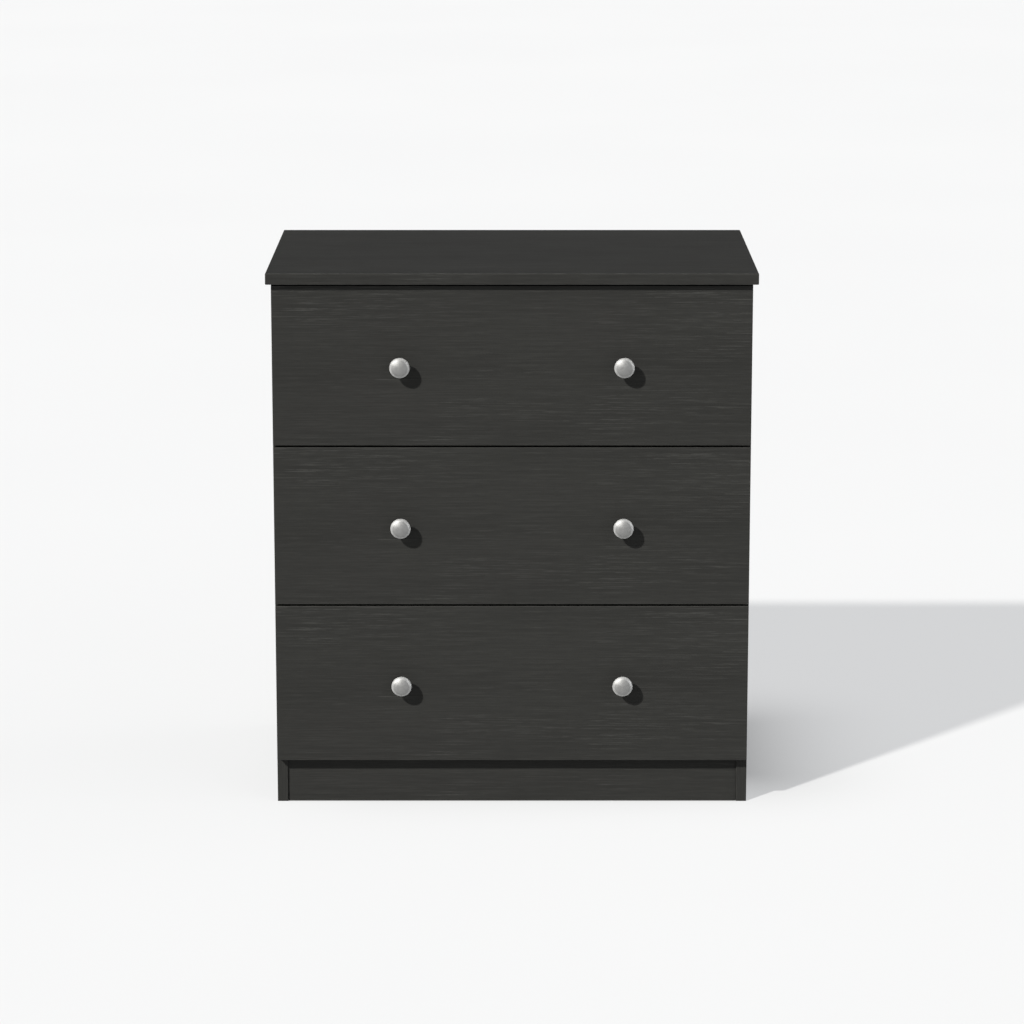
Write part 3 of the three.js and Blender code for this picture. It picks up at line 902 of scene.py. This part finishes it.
def nail_outline():
    """A flat head with a rounded rim, a little higher in the middle."""
    rim = (NAIL_RADIUS - NAIL_PROUD * 0.5, NAIL_PROUD)
    wall = (NAIL_RADIUS, NAIL_PROUD * 0.5)
    outline = [(0.0, 0.0), (NAIL_RADIUS, 0.0), wall]
    outline += curve_points(wall, (NAIL_RADIUS, NAIL_PROUD), rim, 3)
    return outline + [(0.0, NAIL_PROUD * 1.1)]


def add_back_nails(material):
    """Flat-headed nails all round the back panel, evenly spaced along each edge."""
    low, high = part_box("back_panel")
    corner_low = low + Vector((NAIL_EDGE, 0, NAIL_FOOT))
    corner_high = high - Vector((NAIL_EDGE, 0, NAIL_EDGE))
    rows = round((corner_high.z - corner_low.z) / NAIL_SPACING)
    columns = round((corner_high.x - corner_low.x) / NAIL_SPACING)
    spots = []
    for row in range(rows + 1):
        z = corner_low.z + (corner_high.z - corner_low.z) * row / rows
        spots += [(corner_low.x, z), (corner_high.x, z)]
    for column in range(1, columns):
        x = corner_low.x + (corner_high.x - corner_low.x) * column / columns
        spots += [(x, corner_low.z), (x, corner_high.z)]
    head = turned_mesh("nail_head", nail_outline(), NAIL_SEGMENTS)
    places = [((x, high.y, z), (0, 1, 0)) for x, z in spots]
    add_group("back_panel_nails", head, places, "cabinet", material)


# ---- Rollers ----

ROLLER_SEGMENTS = 72
ROLLER_BORE = 2.8 * MM  # radius, round the pin with its clearance
ROLLER_HUB = 4.6 * MM
ROLLER_RIM = 8.0 * MM  # inner radius of the rim
ROLLER_DISH = 0.9 * MM  # how deep each face is dished between hub and rim
ROLLER_EDGE = 0.8 * MM  # radius of the tread's rounded edges
ROLLER_CHAMFER = 0.3 * MM


def roller_outline(radius, width):
    """A closed section, centred on Z = 0: bore, hub, dished web and rim with rounded edges."""
    half = width / 2
    dish = half - ROLLER_DISH
    face = [(ROLLER_BORE, half - ROLLER_CHAMFER), (ROLLER_BORE + ROLLER_CHAMFER, half)]
    face += [(ROLLER_HUB, half), (ROLLER_HUB + ROLLER_CHAMFER, dish)]
    face += [(ROLLER_RIM - ROLLER_CHAMFER, dish), (ROLLER_RIM, half)]
    face += arc_points((radius - ROLLER_EDGE, half - ROLLER_EDGE), ROLLER_EDGE, 90, 0, 4)
    return face + [(r, -h) for r, h in reversed(face)]


def add_rollers(nylon):
    for level in LEVELS:
        for side in SIDES:
            for node in (f"cabinet_roller_{level}_{side}", f"{level}_drawer_roller_{side}"):
                low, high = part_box(node)
                name = f"{node}_moulded"
                outline = roller_outline((high.z - low.z) / 2, high.x - low.x)
                mesh = turned_mesh(name, outline, ROLLER_SEGMENTS, closed=True)
                mesh.transform(along_axis((1, 0, 0), (low + high) / 2))
                piece = add_piece(name, mesh, node, nylon, node)
                smooth_by_angle(piece)


dress_charcoal_boards()
coat = coated_steel_material()
dress_other_nodes(coat)
add_knobs()
zinc = zinc_material("zinc_plate", *ZINC_PLATE)
cast = zinc_material("zinc_casting", *ZINC_CASTING)
add_knob_screws(zinc)
add_runner_screws(zinc)
add_drawer_fittings(zinc, cast)
add_back_nails(cast)
add_rollers(nylon_material())


# ---- Floor, light and camera ----

FLOOR_HALF = 60.0
CAMERA_DISTANCE = 5.40
CAMERA_HEIGHT = 1.566
CAMERA_LENS = 129.9
CAMERA_REACH = 200.0
SUN_DIRECTION = (0.87, 1.0, -0.97)
SUN_ANGLE = 2.5
SUN_COLOR = (1.0, 0.985, 0.955)
SUN_STRENGTH = 6.5
WORLD_HORIZON = rgba(0.940, 0.948, 0.955)
WORLD_ABOVE = rgba(0.20, 0.205, 0.22)
HORIZON_RISE = (0.085, 0.17)  # where the pale horizon ends, as the height of a direction
HORIZON_TURN = (-0.75, -0.10)  # and where it ends towards the front, as the direction's Y

# Soft lamps in the world: where each is seen, how far its glow reaches in degrees, and its color.
LAMPS = (
    ((0.69, -0.65, 0.36), 28.0, rgba(1.6, 1.62, 1.65)),
    ((0.97, 0.06, 0.22), 28.0, rgba(3.2, 3.23, 3.28)),
)


def add_floor():
    form = bmesh.new()
    bmesh.ops.create_grid(form, x_segments=1, y_segments=1, size=FLOOR_HALF)
    mesh = bpy.data.meshes.new("floor")
    form.to_mesh(mesh)
    form.free()
    floor = bpy.data.objects.new("floor", mesh)
    floor.location.z = cad_low.z
    bpy.context.scene.collection.objects.link(floor)
    mesh.materials.append(floor_material())


def add_sun():
    light = bpy.data.lights.new("sun", "SUN")
    light.energy = SUN_STRENGTH
    light.angle = math.radians(SUN_ANGLE)
    light.color = SUN_COLOR
    sun = bpy.data.objects.new("sun", light)
    sun.rotation_mode = "QUATERNION"
    sun.rotation_quaternion = Vector(SUN_DIRECTION).to_track_quat("-Z", "Y")
    bpy.context.scene.collection.objects.link(sun)


def add_world():
    """Pale at the horizon, to meet the floor, dimmer overhead and in front, with the soft lamps."""
    world = bpy.data.worlds.new("studio")
    world.use_nodes = True
    graph = Graph(world.node_tree)
    direction = graph.add("ShaderNodeTexCoord").outputs["Generated"]
    _, depth, height = graph.split(direction)
    low = graph.remap(height, *HORIZON_RISE, 1.0, 0.0)
    behind = graph.remap(depth, *HORIZON_TURN)
    color = graph.mix(graph.math("MULTIPLY", low, behind), WORLD_ABOVE, WORLD_HORIZON)
    for place, reach, glow in LAMPS:
        near = graph.add("ShaderNodeVectorMath", operation="DOT_PRODUCT")
        graph.feed(near.inputs[0], direction)
        graph.feed(near.inputs[1], Vector(place).normalized())
        edge = math.cos(math.radians(reach))
        core = math.cos(math.radians(reach / 2))
        color = graph.mix(graph.remap(near.outputs["Value"], edge, core), color, glow)
    graph.feed(world.node_tree.nodes["Background"].inputs["Color"], color)
    bpy.context.scene.world = world


def add_camera():
    data = bpy.data.cameras.new("camera")
    data.lens = CAMERA_LENS
    data.clip_end = CAMERA_REACH
    camera = bpy.data.objects.new("camera", data)
    camera.location = (0.0, -CAMERA_DISTANCE, CAMERA_HEIGHT)
    camera.rotation_mode = "QUATERNION"
    aim = (cad_low + cad_high) / 2 - camera.location
    camera.rotation_quaternion = aim.to_track_quat("-Z", "Y")
    bpy.context.scene.collection.objects.link(camera)
    bpy.context.scene.camera = camera


add_floor()
add_sun()
add_world()
add_camera()
bpy.context.scene.view_settings.view_transform = "Standard"
